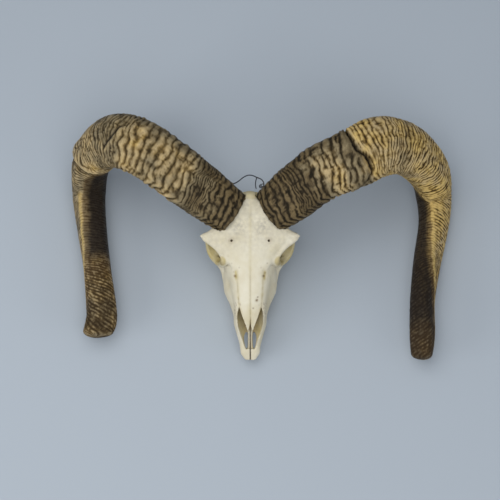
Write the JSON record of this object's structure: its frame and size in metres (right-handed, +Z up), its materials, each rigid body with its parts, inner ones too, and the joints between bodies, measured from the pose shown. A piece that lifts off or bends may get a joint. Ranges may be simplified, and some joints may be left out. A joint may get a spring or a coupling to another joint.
{
  "type": "ram skull",
  "caption": "Still, life-size skull of a large domestic ram without its lower jaw, with two heavy wrinkled horns that sweep out, bend down and end blunt, and a hanging wire at the poll.",
  "frame": {"origin": "on the floor, under the middle of the whole object's box", "axes": "+Z up, -Y the way the nose points, +X to the right when the face is looked at"},
  "size_m": [0.5523, 0.3335, 0.1758],
  "materials": {
    "bone": "dry bleached bone, cream white, yellower in the eye sockets and nose",
    "horn": "weathered ram's horn, deep cross wrinkles, golden brown ridges and dark grooves",
    "wire": "dark oxidised steel wire"
  },
  "bodies": {
    "root": {"frontal_left": "bone", "frontal_right": "bone", "cranium": "bone", "occipital": "bone", "zygomatic_left": "bone", "zygomatic_right": "bone", "nasal_left": "bone", "nasal_right": "bone", "maxilla_left": "bone", "maxilla_right": "bone", "premaxilla_left": "bone", "premaxilla_right": "bone", "horn_left": "horn", "horn_right": "horn", "hanging_wire": "wire"}
  },
  "joints": []
}
